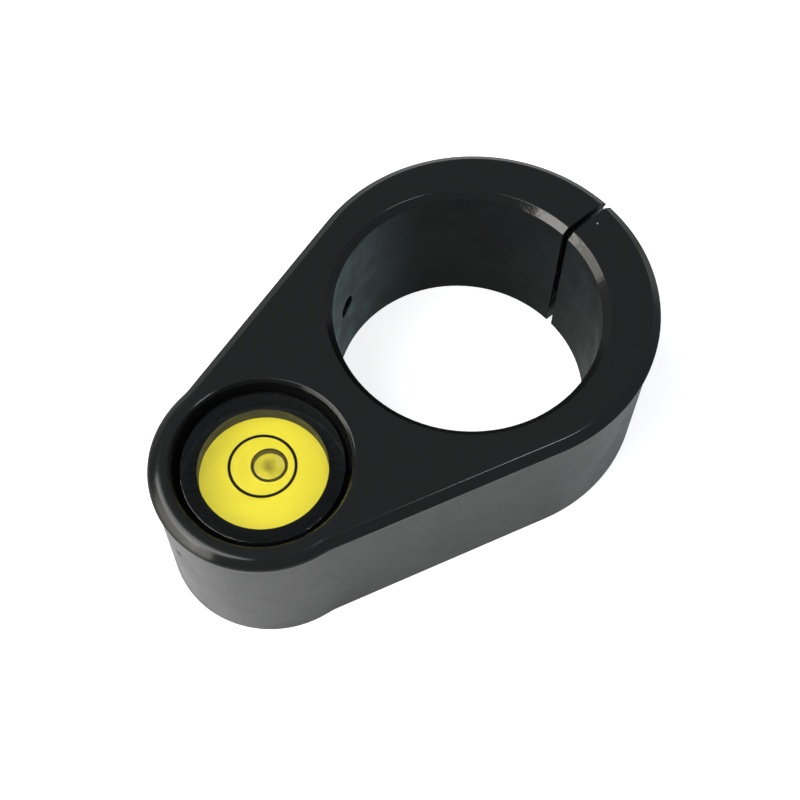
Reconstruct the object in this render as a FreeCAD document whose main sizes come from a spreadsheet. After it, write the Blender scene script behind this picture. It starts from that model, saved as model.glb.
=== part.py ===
import FreeCAD, Part
import math
import os

import Sketcher

os.makedirs("parts", exist_ok=True)

# A bullseye level on a split collar that grips a survey pole of 32 mm.
# Origin: where the bore axis meets the bottom face. +Z runs up the bore, the vial lies towards -X
# and the slot towards +X. All sizes are in millimetres.

SIZES = {
    # moulded collar
    "bore_diameter": 32.0,
    "body_height": 20.6,
    "ring_wall": 5.6,
    "ring_offset": 1.75,
    "web_thickness": 4.8,
    "nose_wall": 2.7,
    "flank_relief": 0.25,
    "flank_blend": 8.0,
    "cap_height": 1.2,
    "cap_overhang": 0.3,
    "bevel_width": 1.1,
    "bevel_drop": 0.9,
    "crease_rounding": 0.2,
    "bore_chamfer": 0.85,
    "slot_mouth": 0.9,
    "slot_outlet": 0.7,
    "pocket_clearance": 0.4,
    "pocket_chamfer": 0.35,
    "floor_thickness": 4.6,
    "gate_diameter": 0.7,
    "gate_depth": 0.25,
    "gate_height": 13.5,
    # vial and what it holds
    "vial_diameter": 19.4,
    "vial_height": 7.0,
    "vial_recess": 1.3,
    "rim_chamfer": 0.45,
    "lens_thickness": 0.9,
    "dome_radius": 170.0,
    "cup_wall": 2.3,
    "chamber_depth": 2.8,
    "target_diameter": 7.5,
    "target_line": 0.28,
    "print_thickness": 0.05,
    "bubble_diameter": 4.3,
    "bubble_thickness": 1.3,
    "bubble_drift_along": 0.8,
    "bubble_drift_across": 0.1,
    # mounting plate, adjusting screws and their bushes
    "plate_clearance": 0.8,
    "plate_thickness": 2.0,
    "screw_inset": 3.4,
    "screw_diameter": 2.5,
    "screw_hole_clearance": 0.15,
    "thread_clearance": 0.02,
    "screw_end_gap": 0.3,
    "head_diameter": 4.5,
    "head_height": 1.6,
    "head_clearance": 0.2,
    "head_chamfer": 0.3,
    "seat_depth": 2.6,
    "driver_slot_width": 0.6,
    "driver_slot_depth": 0.8,
    "bush_diameter": 4.8,
    "bush_bore": 2.8,
    "bush_seat_gap": 0.02,
    # set screw in the ring
    "grub_diameter": 3.0,
    "grub_height": 9.9,
    "grub_setback": 0.5,
    "grub_inset": 0.05,
    "grub_key": 1.5,
    "grub_key_depth": 1.6,
}
FORMULAS = {
    "ring_radius": "=bore_diameter / 2 + ring_wall",
    "pocket_radius": "=vial_diameter / 2 + pocket_clearance",
    "nose_radius": "=pocket_radius + nose_wall",
    "vial_distance": "=bore_diameter / 2 + web_thickness + pocket_radius",
}
SCREW_COUNT = 3
GRUB_TURN = "115.4deg"

doc = FreeCAD.newDocument("bullseye_level")
sheet = doc.addObject("Spreadsheet::Sheet", "Sizes")
for row, (alias, value) in enumerate({**SIZES, **FORMULAS}.items(), start=1):
    sheet.set(f"A{row}", alias)
    sheet.set(f"B{row}", str(value))
    sheet.setAlias(f"B{row}", alias)
doc.recompute()

# Levels above the bottom face and shared radii, as expressions of the sheet
VIAL_TOP = "(Sizes.body_height - Sizes.vial_recess)"
VIAL_FOOT = f"({VIAL_TOP} - Sizes.vial_height)"
CEILING = f"({VIAL_TOP} - Sizes.lens_thickness)"
PLATE_FOOT = f"({VIAL_FOOT} - Sizes.plate_thickness)"
SCREW_CIRCLE_RADIUS = "(Sizes.vial_diameter / 2 - Sizes.screw_inset)"
SCREW_TIP = f"({VIAL_FOOT} - Sizes.screw_end_gap)"
PLUG_HEIGHT = "(Sizes.vial_height - Sizes.lens_thickness - Sizes.chamber_depth)"
CHAMBER_RADIUS = "(Sizes.vial_diameter / 2 - Sizes.cup_wall)"
BUBBLE_RADIUS = "(Sizes.bubble_diameter / 2)"
FLANK_RADIUS = "(Sizes.nose_radius - Sizes.flank_relief)"
BALL_RADIUS = f"(({BUBBLE_RADIUS} ^ 2 + Sizes.bubble_thickness ^ 2) / (2 * Sizes.bubble_thickness))"
DOME_RISE = f"(Sizes.dome_radius - sqrt(Sizes.dome_radius ^ 2 - {CHAMBER_RADIUS} ^ 2))"
GRUB_INNER = "(Sizes.bore_diameter / 2 + Sizes.grub_setback)"
RING_FACE = f"(Sizes.ring_radius + Sizes.ring_offset * cos({GRUB_TURN}) - Sizes.cap_overhang)"
GRUB_LENGTH = f"({RING_FACE} - Sizes.grub_inset - {GRUB_INNER})"


def put_at(item, along=None, across=None, level=None):
    """Binds the place of an item to expressions of the sheet."""
    for axis, expression in (("x", along), ("y", across), ("z", level)):
        if expression:
            item.setExpression(f"Placement.Base.{axis}", expression)


def new_body(label, along=None, across=None, level=None):
    """An empty body whose Placement follows the sheet."""
    body = doc.addObject("PartDesign::Body", label)
    body.Label = label
    put_at(body, along, across, level)
    return body


def combine(label, kind, base, tool):
    """Two shapes cut or intersected into one piece."""
    result = doc.addObject(f"Part::{kind}", label)
    result.Base = base
    result.Tool = tool
    return result


def new_ball(label, radius, along, across, level):
    """A ball whose poles lie to its sides, so that its top and bottom are evenly divided."""
    ball = doc.addObject("Part::Sphere", label)
    ball.Placement = FreeCAD.Placement(FreeCAD.Vector(0, 0, 0), FreeCAD.Rotation(FreeCAD.Vector(0, 1, 0), 90))
    ball.setExpression("Radius", radius)
    put_at(ball, along, across, level)
    return ball


def new_sketch(body, name, role="XY_Plane", level=None):
    """A sketch on one of the body's own origin planes, raised by an expression."""
    sketch = body.newObject("Sketcher::SketchObject", name)
    plane = [feature for feature in body.Origin.OriginFeatures if feature.Role == role][0]
    sketch.AttachmentSupport = [(plane, "")]
    sketch.MapMode = "FlatFace"
    if level:
        sketch.setExpression("AttachmentOffset.Base.z", level)
    return sketch


def bind(sketch, kind, *references, to, start=1.0):
    """A dimension of a sketch that follows an expression of the sheet."""
    index = sketch.addConstraint(Sketcher.Constraint(kind, *references, start))
    sketch.setExpression(f"Constraints[{index}]", to)


def add_circle(sketch, radius, along=None, level=None):
    """A circle about the sketch's origin, or at a bound distance from it."""
    circle = sketch.addGeometry(Part.Circle(FreeCAD.Vector(0, 0, 0), FreeCAD.Vector(0, 0, 1), 1.0))
    bind(sketch, "Radius", circle, to=radius)
    if along is None and level is None:
        sketch.addConstraint(Sketcher.Constraint("Coincident", circle, 3, -1, 1))
    elif level is None:
        sketch.addConstraint(Sketcher.Constraint("PointOnObject", circle, 3, -1))
        bind(sketch, "DistanceX", -1, 1, circle, 3, to=along)
    else:
        sketch.addConstraint(Sketcher.Constraint("PointOnObject", circle, 3, -2))
        bind(sketch, "DistanceY", -1, 1, circle, 3, to=level)
    return circle


def add_pad(body, sketch, name, length, downward=False):
    """A pad of a sketch with a bound length."""
    pad = body.newObject("PartDesign::Pad", name)
    pad.Profile = sketch
    pad.setExpression("Length", length)
    pad.Reversed = downward
    return pad


def add_pocket(body, sketch, name, depth=None, upward=False):
    """A pocket of a sketch, through everything unless a depth is bound."""
    pocket = body.newObject("PartDesign::Pocket", name)
    pocket.Profile = sketch
    pocket.Reversed = upward
    if depth:
        pocket.setExpression("Length", depth)
    else:
        pocket.Type = "ThroughAll"
    return pocket


def edges_of(feature, test):
    """Names of the feature's edges that pass a test, for a fillet or a chamfer."""
    doc.recompute()
    edges = enumerate(feature.Shape.Edges, start=1)
    return (feature, [f"Edge{number}" for number, edge in edges if test(edge)])


def is_level(edge, height):
    """True for an edge that lies in the level plane at that height."""
    return abs(edge.BoundBox.ZMin - height) < 1e-4 and abs(edge.BoundBox.ZMax - height) < 1e-4


def is_round(edge, radius):
    """True for a circular edge of that radius."""
    return isinstance(edge.Curve, Part.Circle) and abs(edge.Curve.Radius - radius) < 1e-4


def add_outline(sketch, inset):
    """The teardrop: ring arc, two flanks, two hollow blends and the nose arc, drawn in by an inset."""
    shrink = 0.0 if inset == "0" else sheet.cap_overhang
    ring = sheet.ring_radius - shrink
    nose = sheet.nose_radius - shrink
    flank = nose - sheet.flank_relief
    blend = sheet.flank_blend + shrink
    span = sheet.vial_distance + sheet.ring_offset
    lean = math.asin((ring - flank) / span)
    normal = FreeCAD.Vector(-math.sin(lean), math.cos(lean), 0)
    run = FreeCAD.Vector(math.cos(lean), math.sin(lean), 0)
    ring_centre = FreeCAD.Vector(sheet.ring_offset, 0, 0)
    nose_centre = FreeCAD.Vector(-sheet.vial_distance, 0, 0)
    reach = math.sqrt((nose + blend) ** 2 - (flank + blend) ** 2)
    blend_centre = nose_centre + normal * (flank + blend) + run * reach
    flank_start = ring_centre + normal * ring
    flank_end = nose_centre + normal * flank + run * reach
    to_blend = (blend_centre - nose_centre).normalize()
    nose_end = nose_centre + to_blend * nose
    up = FreeCAD.Vector(0, 0, 1)

    def mirror(point):
        return FreeCAD.Vector(point.x, -point.y, 0)

    def arc(centre, radius, start, end):
        """A counter-clockwise arc from start to end."""
        first = math.atan2(start.y - centre.y, start.x - centre.x)
        last = math.atan2(end.y - centre.y, end.x - centre.x)
        return Part.ArcOfCircle(Part.Circle(centre, up, radius), first, last)

    ring_arc = sketch.addGeometry(arc(ring_centre, ring, mirror(flank_start), flank_start))
    far_flank = sketch.addGeometry(Part.LineSegment(flank_start, flank_end))
    far_blend = sketch.addGeometry(arc(blend_centre, blend, nose_end, flank_end))
    nose_arc = sketch.addGeometry(arc(nose_centre, nose, nose_end, mirror(nose_end)))
    near_blend = sketch.addGeometry(arc(mirror(blend_centre), blend, mirror(flank_end), mirror(nose_end)))
    near_flank = sketch.addGeometry(Part.LineSegment(mirror(flank_end), mirror(flank_start)))
    guide = sketch.addGeometry(Part.Circle(nose_centre, up, flank), True)

    joints = (
        (ring_arc, 2, far_flank, 1),
        (far_flank, 2, far_blend, 2),
        (far_blend, 1, nose_arc, 1),
        (nose_arc, 2, near_blend, 2),
        (near_blend, 1, near_flank, 1),
        (near_flank, 2, ring_arc, 1),
    )
    for joint in joints:
        sketch.addConstraint(Sketcher.Constraint("Tangent", *joint))
    sketch.addConstraint(Sketcher.Constraint("Coincident", guide, 3, nose_arc, 3))
    sketch.addConstraint(Sketcher.Constraint("Tangent", far_flank, guide))
    sketch.addConstraint(Sketcher.Constraint("Tangent", near_flank, guide))
    sketch.addConstraint(Sketcher.Constraint("PointOnObject", ring_arc, 3, -1))
    sketch.addConstraint(Sketcher.Constraint("PointOnObject", nose_arc, 3, -1))
    bind(sketch, "DistanceX", -1, 1, ring_arc, 3, to="Sizes.ring_offset", start=sheet.ring_offset)
    bind(sketch, "DistanceX", nose_arc, 3, -1, 1, to="Sizes.vial_distance", start=sheet.vial_distance)
    bind(sketch, "Radius", ring_arc, to=f"Sizes.ring_radius - {inset}", start=ring)
    bind(sketch, "Radius", nose_arc, to=f"Sizes.nose_radius - {inset}", start=nose)
    bind(sketch, "Radius", guide, to=f"{FLANK_RADIUS} - {inset}", start=flank)
    bind(sketch, "Radius", far_blend, to=f"Sizes.flank_blend + {inset}", start=blend)
    bind(sketch, "Radius", near_blend, to=f"Sizes.flank_blend + {inset}", start=blend)


# Collar: one moulding with a wall, a slightly wider rounded cap, the bore, the slot and the vial pocket
def make_housing():
    body = new_body("housing")
    cap_foot = "Sizes.body_height - Sizes.cap_height"

    wall_outline = new_sketch(body, "wall_outline")
    add_outline(wall_outline, "Sizes.cap_overhang")
    add_pad(body, wall_outline, "wall", cap_foot)

    cap_outline = new_sketch(body, "cap_outline", level=cap_foot)
    add_outline(cap_outline, "0")
    cap = add_pad(body, cap_outline, "cap", "Sizes.cap_height")

    top = sheet.body_height
    bevel = body.newObject("PartDesign::Chamfer", "cap_bevel")
    bevel.Base = edges_of(cap, lambda edge: is_level(edge, top))
    bevel.ChamferType = "Two distances"
    bevel.setExpression("Size", "Sizes.bevel_drop")
    bevel.setExpression("Size2", "Sizes.bevel_width")
    crease = body.newObject("PartDesign::Fillet", "cap_crease")
    crease.Base = edges_of(bevel, lambda edge: is_level(edge, top))
    crease.setExpression("Radius", "Sizes.crease_rounding")

    bore_circle = new_sketch(body, "bore_circle")
    add_circle(bore_circle, "Sizes.bore_diameter / 2")
    bore = add_pocket(body, bore_circle, "bore", upward=True)

    pocket_circle = new_sketch(body, "pocket_circle", level="Sizes.body_height")
    pocket_ring = pocket_circle.addGeometry(
        Part.Circle(FreeCAD.Vector(-sheet.vial_distance, 0, 0), FreeCAD.Vector(0, 0, 1), 1.0))
    pocket_circle.addConstraint(Sketcher.Constraint("PointOnObject", pocket_ring, 3, -1))
    bind(pocket_circle, "DistanceX", pocket_ring, 3, -1, 1, to="Sizes.vial_distance", start=sheet.vial_distance)
    bind(pocket_circle, "Radius", pocket_ring, to="Sizes.pocket_radius")
    pocket = add_pocket(body, pocket_circle, "vial_pocket", "Sizes.body_height - Sizes.floor_thickness")

    bore_radius = sheet.bore_diameter / 2
    top_edge = body.newObject("PartDesign::Chamfer", "bore_top_chamfer")
    top_edge.Base = edges_of(pocket, lambda edge: is_level(edge, top) and is_round(edge, bore_radius))
    top_edge.setExpression("Size", "Sizes.bore_chamfer")

    rim = body.newObject("PartDesign::Chamfer", "pocket_rim")
    rim.Base = edges_of(top_edge, lambda edge: is_level(edge, top) and is_round(edge, sheet.pocket_radius))
    rim.setExpression("Size", "Sizes.pocket_chamfer")

    cut_slot(body)
    drill_screw_holes(body)
    drill_grub_hole(body)
    press_gate_mark(body)
    return body


def cut_slot(body):
    """The split in the ring, a little wider at the bore than outside."""
    sketch = new_sketch(body, "slot_outline")
    inner = "Sizes.bore_diameter / 2 - Sizes.ring_offset"
    outer = "Sizes.ring_offset + Sizes.ring_radius + Sizes.slot_outlet"
    start = FreeCAD.Vector(sheet.bore_diameter / 2, sheet.slot_mouth / 2, 0)
    end = FreeCAD.Vector(sheet.ring_radius, sheet.slot_outlet / 2, 0)
    corners = [
        start,
        FreeCAD.Vector(start.x, -start.y, 0),
        FreeCAD.Vector(end.x, -end.y, 0),
        end,
    ]
    lines = [sketch.addGeometry(Part.LineSegment(corners[i], corners[(i + 1) % 4])) for i in range(4)]
    for i in range(4):
        sketch.addConstraint(Sketcher.Constraint("Coincident", lines[i], 2, lines[(i + 1) % 4], 1))
    sketch.addConstraint(Sketcher.Constraint("Symmetric", lines[0], 1, lines[0], 2, -1))
    sketch.addConstraint(Sketcher.Constraint("Symmetric", lines[2], 1, lines[2], 2, -1))
    bind(sketch, "DistanceX", -1, 1, lines[0], 1, to=inner, start=start.x)
    bind(sketch, "DistanceX", -1, 1, lines[2], 2, to=outer, start=end.x)
    bind(sketch, "DistanceY", lines[0], 2, lines[0], 1, to="Sizes.slot_mouth", start=sheet.slot_mouth)
    bind(sketch, "DistanceY", lines[2], 1, lines[2], 2, to="Sizes.slot_outlet", start=sheet.slot_outlet)
    add_pocket(body, sketch, "slot", upward=True)


def drill_screw_holes(body):
    """Three counterbored holes through the floor of the pocket, round the vial's axis."""
    features = []
    hole_radius = "Sizes.screw_diameter / 2 + Sizes.screw_hole_clearance"
    seat_radius = "Sizes.head_diameter / 2 + Sizes.head_clearance"
    for name, radius, depth in (
        ("screw_hole", hole_radius, "Sizes.floor_thickness"),
        ("screw_seat", seat_radius, "Sizes.seat_depth"),
    ):
        sketch = new_sketch(body, f"{name}_circle")
        sketch.setExpression("AttachmentOffset.Base.x", "-Sizes.vial_distance")
        add_circle(sketch, radius, along=SCREW_CIRCLE_RADIUS)
        features.append(add_pocket(body, sketch, name, depth, upward=True))
    pattern = body.newObject("PartDesign::PolarPattern", "screw_hole_pattern")
    pattern.Originals = features
    pattern.Axis = (sketch, ["N_Axis"])
    pattern.Angle = 360.0
    pattern.Occurrences = SCREW_COUNT
    body.Tip = pattern


def drill_grub_hole(body):
    """A tapped hole that points at the bore's axis, from the outside into the bore."""
    sketch = new_sketch(body, "grub_hole_circle", role="YZ_Plane")
    sketch.AttachmentOffset = FreeCAD.Placement(FreeCAD.Vector(0, 0, 0), FreeCAD.Rotation(FreeCAD.Vector(0, 1, 0), 90))
    sketch.setExpression("AttachmentOffset.Rotation.Angle", GRUB_TURN)
    add_circle(sketch, "Sizes.grub_diameter / 2 + Sizes.thread_clearance", level="Sizes.grub_height")
    add_pocket(body, sketch, "grub_hole", upward=True)


def press_gate_mark(body):
    """The small pit at the tip of the nose where the mould's gate was trimmed off."""
    wall_face = "-(Sizes.vial_distance + Sizes.nose_radius - Sizes.cap_overhang)"
    sketch = new_sketch(body, "gate_circle", role="YZ_Plane", level=wall_face)
    add_circle(sketch, "Sizes.gate_diameter / 2", level="Sizes.gate_height")
    add_pocket(body, sketch, "gate_mark", "Sizes.gate_depth", upward=True)


# Inside of the vial: a round bore closed above by a shallow dome, which keeps the bubble
def make_cup_space():
    bore = doc.addObject("Part::Cylinder", "cup_bore")
    bore.setExpression("Radius", CHAMBER_RADIUS)
    bore.setExpression("Height", "Sizes.vial_height")
    put_at(bore, "-Sizes.vial_distance", None, VIAL_FOOT)
    dome_centre = f"{CEILING} + {DOME_RISE} - Sizes.dome_radius"
    dome = new_ball("dome_ball", "Sizes.dome_radius", "-Sizes.vial_distance", None, dome_centre)
    return combine("cup_space", "Common", bore, dome)


# Vial body: a clear moulded cup, open below, with a bevelled rim
def make_vial_body(cup_space):
    blank = new_body("vial_blank", along="-Sizes.vial_distance", level=VIAL_FOOT)
    sketch = new_sketch(blank, "vial_circle")
    add_circle(sketch, "Sizes.vial_diameter / 2")
    barrel = add_pad(blank, sketch, "barrel", "Sizes.vial_height")
    rim = blank.newObject("PartDesign::Chamfer", "rim_edge")
    rim.Base = edges_of(barrel, lambda edge: is_level(edge, sheet.vial_height))
    rim.setExpression("Size", "Sizes.rim_chamfer")
    return combine("vial_body", "Cut", blank, cup_space)


# Target ring: a thick coat of black ink, printed on the top of the vial
def make_target_ring():
    body = new_body("target_ring", along="-Sizes.vial_distance", level=VIAL_TOP)
    sketch = new_sketch(body, "target_circles")
    add_circle(sketch, "Sizes.target_diameter / 2 + Sizes.target_line / 2")
    add_circle(sketch, "Sizes.target_diameter / 2 - Sizes.target_line / 2")
    add_pad(body, sketch, "ink", "Sizes.print_thickness")
    return body


# Vial base: a yellow plug glued into the cup, whose top is the bright disc seen through the lens
def make_vial_base():
    body = new_body("vial_base", along="-Sizes.vial_distance", level=VIAL_FOOT)
    plug_circle = new_sketch(body, "plug_circle")
    add_circle(plug_circle, CHAMBER_RADIUS)
    add_pad(body, plug_circle, "plug", PLUG_HEIGHT)
    return body


# Chamber: the closed space between the plug and the dome, shared by the liquid and the bubble
def make_chamber(cup_space, vial_base):
    return combine("chamber_form", "Cut", cup_space, vial_base)


def make_bubble_form():
    """A ball of which only the lowest cap dips below the dome, a little off the middle of the target."""
    along = "Sizes.bubble_drift_along - Sizes.vial_distance"
    level = f"{CEILING} + {DOME_RISE} - Sizes.bubble_thickness + {BALL_RADIUS}"
    return new_ball("bubble_ball", BALL_RADIUS, along, "-Sizes.bubble_drift_across", level)


# Liquid: what fills the chamber round the bubble
def make_vial_liquid(chamber, ball):
    return combine("vial_liquid", "Cut", chamber, ball)


# Bubble: the air that is left under the dome
def make_air_bubble(chamber, ball):
    return combine("air_bubble", "Common", chamber, ball)


# Plate: a metal disc glued under the vial, with three tapped holes for the adjusting screws
def make_vial_plate():
    body = new_body("vial_plate", along="-Sizes.vial_distance", level=PLATE_FOOT)
    outline = new_sketch(body, "plate_circle")
    add_circle(outline, "Sizes.vial_diameter / 2 - Sizes.plate_clearance / 2")
    add_pad(body, outline, "plate", "Sizes.plate_thickness")
    tapping = new_sketch(body, "tapped_hole_circle")
    add_circle(tapping, "Sizes.screw_diameter / 2 + Sizes.thread_clearance", along=SCREW_CIRCLE_RADIUS)
    tapped_hole = add_pocket(body, tapping, "tapped_hole", upward=True)
    pattern = body.newObject("PartDesign::PolarPattern", "tapped_hole_pattern")
    pattern.Originals = [tapped_hole]
    pattern.Axis = (tapping, ["N_Axis"])
    pattern.Angle = 360.0
    pattern.Occurrences = SCREW_COUNT
    body.Tip = pattern
    return body


def screw_place(number):
    """Where one adjusting screw stands: the expressions along X and across Y."""
    turn = 360 / SCREW_COUNT * number
    along = f"{SCREW_CIRCLE_RADIUS} * cos({turn}deg) - Sizes.vial_distance"
    across = f"{SCREW_CIRCLE_RADIUS} * sin({turn}deg)"
    return along, across


# Adjusting screws: slotted cheese heads sunk in the bottom face, tips in the plate
def make_adjusting_screw(number):
    along, across = screw_place(number)
    body = new_body(f"adjusting_screw_{number + 1}", along, across, "Sizes.seat_depth")
    shank_circle = new_sketch(body, "shank_circle")
    add_circle(shank_circle, "Sizes.screw_diameter / 2")
    add_pad(body, shank_circle, "shank", f"{SCREW_TIP} - Sizes.seat_depth")
    head_circle = new_sketch(body, "head_circle")
    add_circle(head_circle, "Sizes.head_diameter / 2")
    head = add_pad(body, head_circle, "head", "Sizes.head_height", downward=True)
    head_edge = body.newObject("PartDesign::Chamfer", "head_edge")
    head_edge.Base = edges_of(head, lambda edge: is_level(edge, -sheet.head_height))
    head_edge.setExpression("Size", "Sizes.head_chamfer")
    driver_slot = new_sketch(body, "driver_slot_outline", level="-Sizes.head_height")
    add_rectangle(driver_slot, "head_diameter", "driver_slot_width")
    add_pocket(body, driver_slot, "driver_slot", "Sizes.driver_slot_depth", upward=True)
    return body


def add_rectangle(sketch, length, width):
    """A rectangle centred on the sketch's origin, from two names in the sheet."""
    east = getattr(sheet, length) / 2
    north = getattr(sheet, width) / 2
    corners = [
        FreeCAD.Vector(-east, -north, 0),
        FreeCAD.Vector(east, -north, 0),
        FreeCAD.Vector(east, north, 0),
        FreeCAD.Vector(-east, north, 0),
    ]
    lines = [sketch.addGeometry(Part.LineSegment(corners[i], corners[(i + 1) % 4])) for i in range(4)]
    for i in range(4):
        sketch.addConstraint(Sketcher.Constraint("Coincident", lines[i], 2, lines[(i + 1) % 4], 1))
        sketch.addConstraint(Sketcher.Constraint("Horizontal" if i % 2 == 0 else "Vertical", lines[i]))
    sketch.addConstraint(Sketcher.Constraint("Symmetric", lines[0], 1, lines[2], 1, -1, 1))
    bind(sketch, "DistanceX", lines[0], 1, lines[0], 2, to=f"Sizes.{length}", start=2 * east)
    bind(sketch, "DistanceY", lines[1], 1, lines[1], 2, to=f"Sizes.{width}", start=2 * north)


# Bushes: a rubber sleeve round each adjusting screw, pressing the plate up against the screw's pull
def make_adjusting_bush(number):
    along, across = screw_place(number)
    foot = "Sizes.floor_thickness + Sizes.bush_seat_gap"
    body = new_body(f"adjusting_bush_{number + 1}", along, across, foot)
    sketch = new_sketch(body, "sleeve_circles")
    add_circle(sketch, "Sizes.bush_diameter / 2")
    add_circle(sketch, "Sizes.bush_bore / 2")
    add_pad(body, sketch, "sleeve", f"{PLATE_FOOT} - ({foot}) - Sizes.bush_seat_gap")
    return body


# Set screw: a headless screw with a hexagon socket, in the tapped hole on the ring's far side
def make_set_screw():
    body = new_body("set_screw", level="Sizes.grub_height")
    body.Placement = FreeCAD.Placement(FreeCAD.Vector(0, 0, 0), FreeCAD.Rotation(FreeCAD.Vector(0, 0, 1), 90))
    body.setExpression("Placement.Rotation.Angle", GRUB_TURN)
    rod_circle = new_sketch(body, "rod_circle", role="YZ_Plane", level=GRUB_INNER)
    add_circle(rod_circle, "Sizes.grub_diameter / 2")
    rod = add_pad(body, rod_circle, "rod", GRUB_LENGTH)

    tip = body.newObject("PartDesign::Chamfer", "tip_cone")
    doc.recompute()
    tip_end = rod.Shape.BoundBox.XMin
    tip.Base = edges_of(rod, lambda edge: abs(edge.BoundBox.XMax - tip_end) < 1e-4)
    tip.setExpression("Size", f"{GRUB_LENGTH} / 8")

    socket = new_sketch(body, "socket_hexagon", role="YZ_Plane", level=f"{GRUB_INNER} + {GRUB_LENGTH}")
    add_hexagon(socket, "Sizes.grub_key")
    add_pocket(body, socket, "socket", "Sizes.grub_key_depth")
    return body


def add_hexagon(sketch, across_flats):
    """A regular hexagon about the sketch's origin, with its width across flats bound."""
    corners = [FreeCAD.Vector(math.cos(math.pi / 3 * i), math.sin(math.pi / 3 * i), 0) for i in range(6)]
    lines = [sketch.addGeometry(Part.LineSegment(corners[i], corners[(i + 1) % 6])) for i in range(6)]
    ring = sketch.addGeometry(Part.Circle(FreeCAD.Vector(0, 0, 0), FreeCAD.Vector(0, 0, 1), 1.0), True)
    sketch.addConstraint(Sketcher.Constraint("Coincident", ring, 3, -1, 1))
    for i in range(6):
        sketch.addConstraint(Sketcher.Constraint("Coincident", lines[i], 2, lines[(i + 1) % 6], 1))
        sketch.addConstraint(Sketcher.Constraint("PointOnObject", lines[i], 1, ring))
    for i in range(1, 6):
        sketch.addConstraint(Sketcher.Constraint("Equal", lines[0], lines[i]))
    sketch.addConstraint(Sketcher.Constraint("Horizontal", lines[1]))
    bind(sketch, "Radius", ring, to=f"{across_flats} / 2 / cos(30deg)")


cup_space = make_cup_space()
vial_base = make_vial_base()
chamber = make_chamber(cup_space, vial_base)
ball = make_bubble_form()
nodes = [
    make_housing(),
    make_vial_body(cup_space),
    make_target_ring(),
    vial_base,
    make_vial_liquid(chamber, ball),
    make_air_bubble(chamber, ball),
    make_vial_plate(),
    make_set_screw(),
]
for number in range(SCREW_COUNT):
    nodes.append(make_adjusting_screw(number))
    nodes.append(make_adjusting_bush(number))
doc.recompute()

for item in doc.Objects:
    if "Invalid" in item.State or "Error" in item.State:
        raise RuntimeError(f"{item.Label} did not compute: {item.State}")
for node in nodes:
    if node.Shape.isNull() or not node.Shape.isValid() or not node.Shape.Solids:
        raise RuntimeError(f"{node.Label} has no valid solid")
    node.Shape.exportStep(f"parts/{node.Label}.step")
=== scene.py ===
import bpy, bmesh
from math import atan2, cos, pi, radians, sin, sqrt
from mathutils import Euler, Matrix, Vector


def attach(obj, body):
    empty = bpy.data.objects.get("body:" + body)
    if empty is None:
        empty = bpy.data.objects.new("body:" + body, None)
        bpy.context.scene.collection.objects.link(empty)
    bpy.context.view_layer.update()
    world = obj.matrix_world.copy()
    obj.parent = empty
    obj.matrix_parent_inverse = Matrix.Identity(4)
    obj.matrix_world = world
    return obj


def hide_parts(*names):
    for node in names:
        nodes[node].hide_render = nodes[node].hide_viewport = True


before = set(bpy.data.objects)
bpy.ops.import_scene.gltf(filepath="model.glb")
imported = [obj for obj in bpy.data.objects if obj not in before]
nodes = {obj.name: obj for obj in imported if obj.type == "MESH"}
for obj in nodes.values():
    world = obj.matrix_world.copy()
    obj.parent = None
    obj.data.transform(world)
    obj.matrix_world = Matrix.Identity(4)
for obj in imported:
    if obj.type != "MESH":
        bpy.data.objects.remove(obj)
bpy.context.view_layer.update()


# Collar
# One black plastic moulding: a split ring that grips a survey pole and a nose that holds the vial.
# Its top and cap edge are glossy from a polished mould, its side wall is satin and its bore is dull.
MM = 0.001
BODY_HEIGHT = 20.6 * MM
CAP_FOOT = 19.4 * MM
BORE_RADIUS = 16.0 * MM
BORE_TOP = 19.7 * MM
BORE_BEVEL = 0.95 * MM
BEVEL_FADE = 0.15 * MM
NOSE_START = -26.0 * MM
SHOULDER_START = -34.0 * MM
EDGE_ROUND = 0.14 * MM
SHOULDER_ROUND = 0.75 * MM
FADE = 0.1 * MM

COLLAR_BLACK = (0.0068, 0.0071, 0.007, 1.0)
PLASTIC_IOR = 1.5
PLASTIC_SHINE = 0.5
POLISHED = (0.1, 0.15)
SATIN = (0.23, 0.3)
DULL = (0.42, 0.52)
CLOUD_SCALE = 260.0
CLOUD_SPAN = (0.35, 0.65)
GRAIN_SCALE = 2600.0
GRAIN_DEPTH = 0.01 * MM
GRAIN_STRENGTH = 0.1

BORE_BLACK = (0.005, 0.0075, 0.0075, 1.0)
BORE_SHINE = (0.15, 0.6)
# painted sheen: the pale tone of a reflection, painted on the bore towards the vial
PAINTED_SHEEN_TONE = (0.17, 0.26, 0.27, 1.0)
PAINTED_SHEEN_ALONG = (7.0 * MM, -BORE_RADIUS)
PAINTED_SHEEN_CLOUD = (0.38, 0.62)
PAINTED_SHEEN_SHARE = (0.35, 1.0)
CHIP_SCALE = 750.0
CHIP_DEPTH = 0.12 * MM
CHIP_STRENGTH = 0.3

SCUFF_GREY = (0.16, 0.16, 0.155, 1.0)
SCUFF_SCALE = 1100.0
SCUFF_CUT = (0.66, 0.72)
SCUFF_STRETCH = (1.0, 1.0, 0.3)
SCUFF_ALONG = (9.0 * MM, 15.0 * MM)
SCUFF_FOOT = (0.3 * MM, 0.8 * MM)
SCUFF_TOP = (16.0 * MM, 9.0 * MM)
DUST_WHITE = (0.3, 0.3, 0.28, 1.0)
SPECK_AT = (19.95 * MM, -1.42 * MM, BODY_HEIGHT)
SPECK_EDGE = (0.14 * MM, 0.08 * MM)

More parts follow.
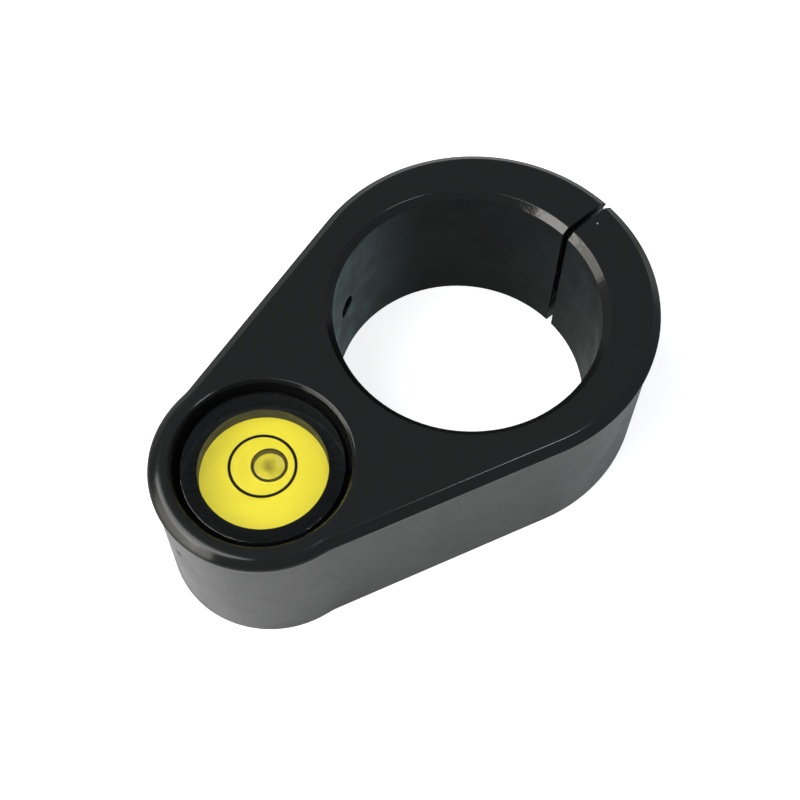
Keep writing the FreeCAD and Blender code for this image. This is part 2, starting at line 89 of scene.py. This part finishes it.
DULL_EDGE_SHINE = 0.06
DULL_EDGE_ACROSS = (-2.0 * MM, 9.0 * MM)
SLOT_EDGE_ALONG = (8.0 * MM, 14.0 * MM)
SLOT_EDGE_ACROSS = (-15.0 * MM, -7.0 * MM)
EDGE_FOOT = (CAP_FOOT - 0.05 * MM, CAP_FOOT)
EDGE_TOP = (BODY_HEIGHT, BODY_HEIGHT - 0.08 * MM)
OUTER_EDGE = (BORE_RADIUS + 2.0 * MM, BORE_RADIUS + 3.0 * MM)


class Finish:
    """A node material, with short ways to add the nodes that feed its shader."""

    def __init__(self, name):
        self.material = bpy.data.materials.new(name)
        self.material.use_nodes = True
        self.tree = self.material.node_tree
        self.shader = self.tree.nodes["Principled BSDF"]
        self.place = self.add("ShaderNodeTexCoord").outputs["Object"]

    def add(self, kind, values=None, links=None, **settings):
        """A node with its settings, its input values and the sockets that feed it."""
        node = self.tree.nodes.new(kind)
        for key, value in settings.items():
            setattr(node, key, value)
        for key, value in (values or {}).items():
            node.inputs[key].default_value = value
        for key, socket in (links or {}).items():
            self.tree.links.new(socket, node.inputs[key])
        return node

    def feed(self, target, part):
        """Gives a socket a value, or joins another socket to it."""
        if isinstance(part, (float, tuple)):
            target.default_value = part
        else:
            self.tree.links.new(part, target)

    def put(self, **parts):
        """Feeds the shader's own inputs, whose names have an underscore in place of each space."""
        for key, part in parts.items():
            name = key.replace("_", " ")
            self.feed(self.shader.inputs[name], part)

    def noise(self, scale, detail, place=None, rough=0.5):
        """A cloudy pattern in the object's own space."""
        return self.add("ShaderNodeTexNoise", {"Scale": scale, "Detail": detail, "Roughness": rough},
                        {"Vector": self.place if place is None else place}).outputs["Fac"]

    def reach(self, centre=(0.0, 0.0, 0.0)):
        """The distance from the upright line through a point."""
        kind = "ShaderNodeVectorMath"
        offset = self.add(kind, {1: centre}, {0: self.place}, operation="SUBTRACT").outputs[0]
        flat = self.add(kind, {1: (1.0, 1.0, 0.0)}, {0: offset}, operation="MULTIPLY").outputs[0]
        return self.add(kind, links={0: flat}, operation="LENGTH").outputs["Value"]

    def step(self, value, low, high, start=0.0, end=1.0, ramp="LINEAR"):
        """Goes from start to end while the value goes from low to high, and is level beyond."""
        limits = {"From Min": low, "From Max": high, "To Min": start, "To Max": end}
        node = self.add("ShaderNodeMapRange", limits, {"Value": value}, interpolation_type=ramp)
        return node.outputs["Result"]

    def cloudy(self, span, scale, detail, low=0.3, high=0.7):
        """A cloudy pattern that lies between two values."""
        return self.step(self.noise(scale, detail), low, high, *span)

    def all_of(self, *shares):
        """The product of two or more shares: each of them has to hold."""
        result = shares[0]
        for share in shares[1:]:
            result = self.add("ShaderNodeMath", links={0: result, 1: share}, operation="MULTIPLY").outputs[0]
        return result

    def any_of(self, first, second):
        """The larger of two shares: one of them is enough."""
        return self.add("ShaderNodeMath", links={0: first, 1: second}, operation="MAXIMUM").outputs[0]

    def blend(self, factor, first, second, kind="FLOAT"):
        """A mix of two numbers, or of two colours with the kind RGBA."""
        mix = self.add("ShaderNodeMix", data_type=kind)
        for key, part in (("Factor", factor), ("A", first), ("B", second)):
            target = [socket for socket in mix.inputs if socket.name == key and socket.enabled][0]
            self.feed(target, part)
        return [socket for socket in mix.outputs if socket.enabled][0]

    def bump(self, height, strength, distance, normal=None):
        """A relief on the surface, or on another relief."""
        node = self.add("ShaderNodeBump", {"Distance": distance}, {"Height": height})
        self.feed(node.inputs["Strength"], strength)
        if normal is not None:
            self.feed(node.inputs["Normal"], normal)
        return node.outputs["Normal"]


def dress(piece, material, cutoff=32):
    """Gives a piece its only material and smooth shading between its sharp edges."""
    piece.data.materials.clear()
    piece.data.materials.append(material)
    for face in piece.data.polygons:
        face.use_smooth = True
    piece.data.set_sharp_from_angle(angle=radians(cutoff))


def black_plastic():
    finish = Finish("black_plastic")
    step, all_of, blend = finish.step, finish.all_of, finish.blend
    along, across, height = finish.add("ShaderNodeSeparateXYZ", links={"Vector": finish.place}).outputs
    reach = finish.reach()
    cloud = finish.noise(CLOUD_SCALE, detail=4.0)
    in_bore = all_of(step(reach, BORE_RADIUS + 2 * FADE, BORE_RADIUS + FADE),
                     step(height, BORE_TOP + FADE, BORE_TOP))

    # glossy above the parting line, satin below it, dull in the bore
    polished, satin, dull = [step(cloud, *CLOUD_SPAN, *span) for span in (POLISHED, SATIN, DULL)]
    outer_skin = blend(step(height, CAP_FOOT - FADE, CAP_FOOT), satin, polished)
    finish.put(Roughness=blend(in_bore, outer_skin, dull))

    # painted sheen: a pale painted reflection lies in clouds on the bore towards the vial
    towards_vial = step(along, *PAINTED_SHEEN_ALONG, ramp="SMOOTHSTEP")
    painted_sheen = all_of(towards_vial, step(cloud, *PAINTED_SHEEN_CLOUD, *PAINTED_SHEEN_SHARE))
    # the bore's own black, with the painted reflection laid over it
    bore_black_and_sheen = blend(painted_sheen, BORE_BLACK, PAINTED_SHEEN_TONE, "RGBA")

    # a few pale scuffs at the foot of the ring's wall
    stretched = finish.add("ShaderNodeMapping", {"Scale": SCUFF_STRETCH}, {"Vector": finish.place})
    marks = finish.noise(SCUFF_SCALE, detail=1.0, place=stretched.outputs["Vector"])
    scuffed = all_of(step(marks, *SCUFF_CUT), step(along, *SCUFF_ALONG),
                     step(height, *SCUFF_FOOT), step(height, *SCUFF_TOP))
    wall_tone = blend(scuffed, COLLAR_BLACK, SCUFF_GREY, "RGBA")

    # one speck of dust lies on the ring, near the slot
    from_speck = finish.add("ShaderNodeVectorMath", {1: SPECK_AT}, {0: finish.place}, operation="DISTANCE")
    on_speck = step(from_speck.outputs["Value"], *SPECK_EDGE)
    outer_tone = blend(on_speck, wall_tone, DUST_WHITE, "RGBA")
    finish.put(Base_Color=blend(in_bore, outer_tone, bore_black_and_sheen, "RGBA"))

    # the cap's edge is less shiny on the far side and beside the slot
    on_edge = all_of(step(height, *EDGE_FOOT), step(height, *EDGE_TOP), step(reach, *OUTER_EDGE))
    by_slot = all_of(step(along, *SLOT_EDGE_ALONG), step(across, *SLOT_EDGE_ACROSS))
    far_side = finish.any_of(step(across, *DULL_EDGE_ACROSS), by_slot)
    shine = blend(in_bore, PLASTIC_SHINE, step(painted_sheen, 0.0, 1.0, *BORE_SHINE))
    dull_edge = all_of(on_edge, far_side)
    finish.put(Specular_IOR_Level=blend(dull_edge, shine, DULL_EDGE_SHINE), IOR=PLASTIC_IOR)

    # the shoulder of the nose is rounder than the other edges
    softness = step(along, NOSE_START, SHOULDER_START, EDGE_ROUND, SHOULDER_ROUND)
    edge = finish.add("ShaderNodeBevel", links={"Radius": softness}, samples=12).outputs["Normal"]
    grained = finish.bump(finish.noise(GRAIN_SCALE, detail=2.0), GRAIN_STRENGTH, GRAIN_DEPTH, edge)

    # the bevel round the bore was trimmed by hand and is uneven
    bevel_edge = BORE_RADIUS + BORE_BEVEL
    on_bevel = all_of(step(reach, bevel_edge, bevel_edge - BEVEL_FADE),
                      step(height, BORE_TOP, BORE_TOP + FADE))
    chips = finish.noise(CHIP_SCALE, detail=3.0, rough=0.6)
    uneven = finish.bump(chips, step(on_bevel, 0.0, 1.0, 0.0, CHIP_STRENGTH), CHIP_DEPTH, grained)
    finish.put(Normal=uneven)
    return finish.material


dress(nodes["housing"], black_plastic())


# Vial body
# A clear moulded acrylic cup, open below and bevelled round its top, that stands free in its pocket.
# Its top is the lens: flat above and a shallow dome below, which keeps the bubble in the middle. Its side
# and foot are painted black, inside and out, which leaves only the lens clear.
VIAL_AT = Vector((-30.9 * MM, 0.0, 0.0))
VIAL_RECESS = 1.3 * MM
VIAL_HEIGHT = 7.0 * MM
VIAL_TOP = BODY_HEIGHT - VIAL_RECESS
VIAL_FOOT = VIAL_TOP - VIAL_HEIGHT
VIAL_RADIUS = 9.7 * MM
RIM_BEVEL = 0.45 * MM
CUP_ROUND = 0.08 * MM
LENS_WALL = 0.9 * MM
LIQUID_DEPTH = 2.8 * MM
CHAMBER_RADIUS = 7.4 * MM
CEILING = VIAL_TOP - LENS_WALL
CHAMBER_FOOT = CEILING - LIQUID_DEPTH
DOME_RADIUS = 170.0 * MM
DOME_STEPS = 12
TURNS = 192
NEAR = 0.02 * MM
FOOT_ROOM = 0.05 * MM

ACRYLIC_TINT = (0.97, 0.98, 0.97, 1.0)
ACRYLIC_IOR = 1.49
ACRYLIC_ROUGH = (0.0, 0.02)
ACRYLIC_HAZE_SCALE = 500.0
PAINT_BLACK = (0.006, 0.006, 0.006, 1.0)
PAINT_ROUGH = (0.35, 0.55)
PAINT_SHINE = 0.15
PAINT_BRUSH_SCALE = 700.0


def rounded(corners, radius, steps=5):
    """A profile whose inner corners are replaced by small arcs."""
    path = [Vector(corners[0])]
    for before, corner, after in zip(corners, corners[1:], corners[2:]):
        here = Vector(corner)
        to_before = (Vector(before) - here).normalized()
        to_after = (Vector(after) - here).normalized()
        start = here + to_before * radius
        end = here + to_after * radius
        for i in range(steps + 1):
            t = i / steps
            path.append(start.lerp(here, t).lerp(here.lerp(end, t), t))
    path.append(Vector(corners[-1]))
    return [(point.x, point.y) for point in path]


def lathe(name, profile, closed=False):
    """Turns a profile of (radius, height) about the vial's axis into a mesh object."""
    mesh = bmesh.new()
    rings = []
    for radius, height in profile:
        ring = []
        for i in range(TURNS if radius > 0.0 else 1):
            angle = 2 * pi * i / TURNS
            point = Vector((radius * cos(angle), radius * sin(angle), height))
            ring.append(mesh.verts.new(VIAL_AT + point))
        rings.append(ring)
    pairs = list(zip(rings, rings[1:]))
    if closed:
        pairs.append((rings[-1], rings[0]))
    for low, high in pairs:
        for i in range(TURNS):
            k = (i + 1) % TURNS
            if len(low) == 1:
                mesh.faces.new((low[0], high[k], high[i]))
            elif len(high) == 1:
                mesh.faces.new((low[i], low[k], high[0]))
            else:
                mesh.faces.new((low[i], low[k], high[k], high[i]))
    bmesh.ops.recalc_face_normals(mesh, faces=mesh.faces)
    data = bpy.data.meshes.new(name)
    mesh.to_mesh(data)
    mesh.free()
    piece = bpy.data.objects.new(name, data)
    bpy.context.scene.collection.objects.link(piece)
    return piece


def stand_for(piece, node, material, cutoff=32):
    """A finer piece takes the place of one node."""
    dress(piece, material, cutoff)
    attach(piece, "root")
    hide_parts(node)


def dome_height(radius, raised=0.0):
    """Height of the dome's underside at that distance from the vial's axis."""
    foot = sqrt(DOME_RADIUS ** 2 - CHAMBER_RADIUS ** 2)
    return CEILING + raised + sqrt(DOME_RADIUS ** 2 - radius ** 2) - foot


def clear_acrylic():
    finish = Finish("clear_acrylic")
    finish.put(Base_Color=ACRYLIC_TINT, Transmission_Weight=1.0, IOR=ACRYLIC_IOR,
               Roughness=finish.cloudy(ACRYLIC_ROUGH, ACRYLIC_HAZE_SCALE, detail=3.0, low=0.4))
    return finish.material


def black_paint():
    finish = Finish("black_paint")
    finish.put(Base_Color=PAINT_BLACK, Specular_IOR_Level=PAINT_SHINE,
               Roughness=finish.cloudy(PAINT_ROUGH, PAINT_BRUSH_SCALE, detail=3.0))
    return finish.material


dome_reaches = [CHAMBER_RADIUS * (1 - i / DOME_STEPS) for i in range(DOME_STEPS + 1)]
cup_outside = rounded([
    (CHAMBER_RADIUS, VIAL_FOOT),
    (VIAL_RADIUS, VIAL_FOOT),
    (VIAL_RADIUS, VIAL_TOP - RIM_BEVEL),
    (VIAL_RADIUS - RIM_BEVEL, VIAL_TOP),
    (0.0, VIAL_TOP),
], CUP_ROUND)
cup_inside = [(reach, dome_height(reach)) for reach in reversed(dome_reaches)]
vial_body = lathe("vial_cup", cup_inside + cup_outside)
stand_for(vial_body, "vial_body", clear_acrylic(), 25)
# the lens lets the lamps through to the plug below it
vial_body.visible_shadow = False

vial_body.data.materials.append(black_paint())
for face in vial_body.data.polygons:
    middle = face.center - VIAL_AT
    on_side = middle.xy.length > VIAL_RADIUS - NEAR and middle.z < VIAL_TOP - RIM_BEVEL
    in_chamber = abs(middle.xy.length - CHAMBER_RADIUS) < NEAR and middle.z < CEILING
    on_foot = middle.z < VIAL_FOOT + FOOT_ROOM
    if on_side or in_chamber or on_foot:
        face.material_index = 1


# Vial base
# A yellow plastic plug set into the cup from below, whose flat top is the bright disc under the liquid.
# It closes the chamber, and its side stands a hair off the cup's painted wall.
PLUG_ROOM = 0.04 * MM
PLUG_RADIUS = CHAMBER_RADIUS - PLUG_ROOM
PLUG_ROUND = 0.03 * MM
PLUG_YELLOWS = ((0.78, 0.655, 0.028, 1.0), (0.82, 0.7, 0.037, 1.0))
PLUG_CLOUD_SCALE = 300.0
PLUG_GRAIN_SCALE = 4000.0
PLUG_ROUGH = 0.5


def yellow_plastic():
    finish = Finish("yellow_plastic")
    tone = finish.blend(finish.noise(PLUG_CLOUD_SCALE, detail=3.0), *PLUG_YELLOWS, "RGBA")
    grained = finish.bump(finish.noise(PLUG_GRAIN_SCALE, detail=2.0), GRAIN_STRENGTH, GRAIN_DEPTH)
    finish.put(Base_Color=tone, Normal=grained, Roughness=PLUG_ROUGH)
    return finish.material


vial_base = lathe("vial_plug", rounded([
    (0.0, VIAL_FOOT),
    (PLUG_RADIUS, VIAL_FOOT),
    (PLUG_RADIUS, CHAMBER_FOOT),
    (0.0, CHAMBER_FOOT),
], PLUG_ROUND))
stand_for(vial_base, "vial_base", yellow_plastic())


# Vial liquid
# Yellow-green spirit that fills the chamber between the plug and the dome, with a hollow where the bubble is.
# Its skin reaches a hair into the acrylic and the plug, so that no false film of air lies between them.
BUBBLE_AT = Vector((0.8 * MM, -0.1 * MM, 0.0))
BUBBLE_RADIUS = 2.15 * MM
BUBBLE_EDGE = 0.55 * MM
BUBBLE_SAG = 0.2 * MM
BUBBLE_DROP = 0.02 * MM
FLAT_STEPS = 4
EDGE_STEPS = 24
SAG_STEPS = 12
SKIN = 0.012 * MM

PURE_WHITE = (1.0, 1.0, 1.0, 1.0)
SPIRIT_DYE = (0.96, 0.95, 0.25, 1.0)
SPIRIT_DEPTH = (150.0, 190.0)
SPIRIT_STREAK_SCALE = 90.0
SPIRIT_IOR = 1.36


def bubble_shell(raised=0.0):
    """Half profile of the bubble: flat under the dome, round at its edge and bulging a little below."""
    top = dome_height(0.0) - BUBBLE_DROP
    middle = BUBBLE_RADIUS - BUBBLE_EDGE
    slope = atan2(2 * BUBBLE_SAG, middle)
    edge = BUBBLE_EDGE + raised
    points = [(middle * i / FLAT_STEPS, top + raised) for i in range(FLAT_STEPS)]
    for i in range(EDGE_STEPS + 1):
        turn = pi / 2 - (pi - slope) * i / EDGE_STEPS
        points.append((middle + edge * cos(turn), top - BUBBLE_EDGE + edge * sin(turn)))
    rim_reach, rim_level = points[-1]
    for i in range(1, SAG_STEPS + 1):
        share = 1 - i / SAG_STEPS
        points.append((rim_reach * share, rim_level - BUBBLE_SAG * (1 - share ** 2)))
    return points


def yellow_spirit():
    finish = Finish("yellow_spirit")
    finish.put(Base_Color=PURE_WHITE, Roughness=0.0, Transmission_Weight=1.0, IOR=SPIRIT_IOR)
    depth = finish.cloudy(SPIRIT_DEPTH, SPIRIT_STREAK_SCALE, detail=1.0)
    dye = finish.add("ShaderNodeVolumeAbsorption", {"Color": SPIRIT_DYE}, {"Density": depth})
    out = [node for node in finish.tree.nodes if node.type == "OUTPUT_MATERIAL"][0]
    finish.feed(out.inputs["Volume"], dye.outputs["Volume"])
    return finish.material


liquid_outside = [(0.0, CHAMBER_FOOT - SKIN), (CHAMBER_RADIUS + SKIN, CHAMBER_FOOT - SKIN)]
liquid_outside.append((CHAMBER_RADIUS + SKIN, dome_height(CHAMBER_RADIUS, SKIN)))
liquid_outside.extend((reach, dome_height(reach, SKIN)) for reach in dome_reaches[1:])
vial_liquid = lathe("spirit", liquid_outside)
hollow = lathe("spirit_hollow", bubble_shell())
hollow.data.transform(Matrix.Translation(BUBBLE_AT))
mesh = bmesh.new()
mesh.from_mesh(hollow.data)
bmesh.ops.reverse_faces(mesh, faces=mesh.faces)
mesh.from_mesh(vial_liquid.data)
mesh.to_mesh(vial_liquid.data)
mesh.free()
bpy.data.objects.remove(hollow)
stand_for(vial_liquid, "vial_liquid", yellow_spirit(), 60)
vial_liquid.visible_shadow = False


# Air bubble
# The air left in the vial, which lies under the dome a little off the middle of the target.
# It is seen by a painted dark outline, which stands for the light that its curved skin turns away, and by
# a painted dim shade in its middle. Both are painted tones that follow the distance from its axis.
# painted shade: dim in the middle of the bubble, clear between, dark at its edge
BUBBLE_CENTRE_SHADE = (0.3, 0.29, 0.26, 1.0)
BUBBLE_CLEAR = (0.84, 0.84, 0.7, 1.0)
BUBBLE_EDGE_SHADE = (0.02, 0.016, 0.008, 1.0)
CENTRE_SHADE_SPAN = (0.05, 0.42)
EDGE_SHADE_SPAN = (0.82, 0.87)
WAVER = (-0.12, 0.12)
WAVER_SCALE = 900.0
AIR_IOR = 1.0
AIR_INSET = 0.01 * MM


def plain_air():
    finish = Finish("air")
    share = finish.add("ShaderNodeMath", {1: BUBBLE_RADIUS}, {0: finish.reach(VIAL_AT + BUBBLE_AT)},
                       operation="DIVIDE").outputs[0]
    shift = finish.cloudy(WAVER, WAVER_SCALE, detail=2.0)
    wavy = finish.add("ShaderNodeMath", links={0: share, 1: shift}, operation="ADD").outputs[0]
    # painted shade: a dim spot in the middle that brightens outwards to the clear tone
    shaded_core = finish.add("ShaderNodeValToRGB", links={"Fac": wavy})
    for stop, position, colour in zip(shaded_core.color_ramp.elements, CENTRE_SHADE_SPAN, (BUBBLE_CENTRE_SHADE, BUBBLE_CLEAR)):
        stop.position = position
        stop.color = colour
    # painted shade: the dark outline at the bubble's edge
    tone = finish.blend(finish.step(share, *EDGE_SHADE_SPAN), shaded_core.outputs["Color"], BUBBLE_EDGE_SHADE, "RGBA")
    finish.put(Base_Color=tone, Roughness=0.0, Transmission_Weight=1.0, IOR=AIR_IOR)
    return finish.material


air_bubble = lathe("bubble", bubble_shell(-AIR_INSET))
air_bubble.data.transform(Matrix.Translation(BUBBLE_AT))
stand_for(air_bubble, "air_bubble", plain_air(), 60)
air_bubble.visible_shadow = False


# Target ring
# A thin circle of black ink printed on the top of the vial.
# The bubble stands inside it when the pole is plumb.
RING_RADIUS = 3.75 * MM
RING_LINE = 0.35 * MM
INK_HEIGHT = 0.02 * MM
INK_EDGE = 0.01 * MM
INK_BLACKS = ((0.003, 0.003, 0.002, 1.0), (0.008, 0.007, 0.004, 1.0))
INK_GRAIN_SCALE = 6000.0
INK_ROUGH = 0.7
INK_SHINE = 0.1


def black_print():
    finish = Finish("black_print")
    tone = finish.blend(finish.noise(INK_GRAIN_SCALE, detail=2.0), *INK_BLACKS, "RGBA")
    finish.put(Base_Color=tone, Roughness=INK_ROUGH, Specular_IOR_Level=INK_SHINE)
    return finish.material


inner_edge = RING_RADIUS - RING_LINE / 2
outer_edge = RING_RADIUS + RING_LINE / 2
target_ring = lathe("target_print", [
    (inner_edge, VIAL_TOP),
    (outer_edge, VIAL_TOP),
    (outer_edge - INK_EDGE, VIAL_TOP + INK_HEIGHT),
    (inner_edge + INK_EDGE, VIAL_TOP + INK_HEIGHT),
], closed=True)
stand_for(target_ring, "target_ring", black_print())


# Mounting
# A plate of black anodised aluminium under the vial, three steel screws from below that tilt it, and a
# rubber bush round each. A black set screw in the collar's wall locks it on the pole.
PLATE_BLACK = (0.03, 0.03, 0.032, 1.0)
SCREW_STEEL = (0.6, 0.6, 0.58, 1.0)
SET_SCREW_BLACK = (0.05, 0.05, 0.055, 1.0)
METAL_STREAK_SCALE = 1500.0
METAL_STREAK_STRENGTH = 0.05
PLATE_ROUGH = (0.34, 0.48)
SCREW_ROUGH = (0.24, 0.38)
RUBBER_BLACK = (0.02, 0.02, 0.02, 1.0)
RUBBER_ROUGH = 0.75
RUBBER_GRAIN_SCALE = 3000.0
RUBBER_GRAIN_STRENGTH = 0.3


def plain_metal(name, colour, rough):
    finish = Finish(name)
    streak = finish.noise(METAL_STREAK_SCALE, detail=3.0)
    streaked = finish.bump(streak, METAL_STREAK_STRENGTH, GRAIN_DEPTH)
    spread = finish.cloudy(rough, METAL_STREAK_SCALE, detail=3.0)
    finish.put(Base_Color=colour, Metallic=1.0, Roughness=spread, Normal=streaked)
    return finish.material


def rubber():
    finish = Finish("bush_rubber")
    grain = finish.noise(RUBBER_GRAIN_SCALE, detail=2.0)
    grained = finish.bump(grain, RUBBER_GRAIN_STRENGTH, 2 * GRAIN_DEPTH)
    finish.put(Base_Color=RUBBER_BLACK, Roughness=RUBBER_ROUGH, Normal=grained)
    return finish.material


screw_steel = plain_metal("screw_steel", SCREW_STEEL, SCREW_ROUGH)
bush_rubber = rubber()
dress(nodes["vial_plate"], plain_metal("plate_metal", PLATE_BLACK, PLATE_ROUGH))
dress(nodes["set_screw"], plain_metal("black_steel", SET_SCREW_BLACK, PLATE_ROUGH))
for number in (1, 2, 3):
    dress(nodes[f"adjusting_screw_{number}"], screw_steel)
    dress(nodes[f"adjusting_bush_{number}"], bush_rubber)


# Floor
# A wide sheet of white paper under the level, on which only a faint shadow is left.
# It glows a little for the camera alone, so that it is white without more light on the level.
PAPER_SIZE = 3.0
PAPER_DROP = 0.02 * MM
PAPER_WHITES = ((0.74, 0.74, 0.74, 1.0), (0.77, 0.77, 0.77, 1.0))
PAPER_FIBRE_SCALE = 900.0
PAPER_ROUGH = 0.9
SEEN_GLOW = 0.66


def white_paper():
    finish = Finish("paper")
    ray = finish.add("ShaderNodeLightPath")
    seen = finish.add("ShaderNodeMath", {1: SEEN_GLOW}, {0: ray.outputs["Is Camera Ray"]},
                      operation="MULTIPLY").outputs[0]
    tone = finish.blend(finish.noise(PAPER_FIBRE_SCALE, detail=2.0), *PAPER_WHITES, "RGBA")
    finish.put(Base_Color=tone, Roughness=PAPER_ROUGH, Specular_IOR_Level=0.0, Emission_Color=PURE_WHITE,
               Emission_Strength=seen)
    return finish.material


bpy.ops.mesh.primitive_plane_add(size=PAPER_SIZE, location=(0.0, 0.0, -PAPER_DROP))
floor = bpy.context.object
floor.name = "floor"
floor.data.materials.append(white_paper())


# Light
# A box beyond the nose lights its wall, a large one above that gives the main light, and a small one over
# the near side draws the crease of the cap's edge. The room is dim, and white where the camera sees it.
WARM = (1.0, 0.95, 0.87)
NEUTRAL = (1.0, 1.0, 1.0)
COOL = (0.95, 0.98, 1.0)
ROOM_TINT = (0.8, 0.9, 0.95, 1.0)
ROOM_STRENGTH = 0.25


def add_light(name, place, width, depth, glow, tint):
    """A panel that faces the level and glows with one radiance all over."""
    data = bpy.data.lights.new(name, "AREA")
    data.shape = "RECTANGLE"
    data.size = width
    data.size_y = depth
    data.energy = glow * pi * width * depth
    data.color = tint
    light = bpy.data.objects.new(name, data)
    light.location = place
    light.rotation_euler = (VIAL_AT / 2 - Vector(place)).to_track_quat("-Z", "Y").to_euler()
    bpy.context.scene.collection.objects.link(light)


add_light("side_box", (-0.56, 0.26, 0.29), width=0.78, depth=0.34, glow=3.0, tint=WARM)
add_light("top_box", (-0.506, 0.293, 0.749), width=0.9, depth=0.9, glow=4.0, tint=NEUTRAL)
add_light("strip", (0.106, -0.299, 0.54), width=0.13, depth=0.2, glow=12.0, tint=COOL)

world = bpy.data.worlds.new("room")
bpy.context.scene.world = world
world.use_nodes = True
tree = world.node_tree
room = tree.nodes["Background"]
room.inputs["Color"].default_value = ROOM_TINT
room.inputs["Strength"].default_value = ROOM_STRENGTH
backdrop = tree.nodes.new("ShaderNodeBackground")
backdrop.inputs["Color"].default_value = PURE_WHITE
ray = tree.nodes.new("ShaderNodeLightPath")
either = tree.nodes.new("ShaderNodeMixShader")
tree.links.new(ray.outputs["Is Camera Ray"], either.inputs[0])
tree.links.new(room.outputs[0], either.inputs[1])
tree.links.new(backdrop.outputs[0], either.inputs[2])
tree.links.new(either.outputs[0], tree.nodes["World Output"].inputs["Surface"])


# Camera
# It looks down on the level from above the near side of its nose, as the photograph does.
# Its place and lens were found by fitting the outline, the bore and the vial.
CAMERA_AT = (-0.06486, -0.06042, 0.16359)
CAMERA_TURN = (27.879, -0.604, -40.854)
FOCAL_LENGTH = 64.1
CLIP_START = 0.01

lens = bpy.data.cameras.new("camera")
lens.lens = FOCAL_LENGTH
lens.clip_start = CLIP_START
camera = bpy.data.objects.new("camera", lens)
camera.location = CAMERA_AT
camera.rotation_euler = Euler([radians(turn) for turn in CAMERA_TURN], "XYZ")
bpy.context.scene.collection.objects.link(camera)
bpy.context.scene.camera = camera
bpy.context.scene.view_settings.view_transform = "Standard"
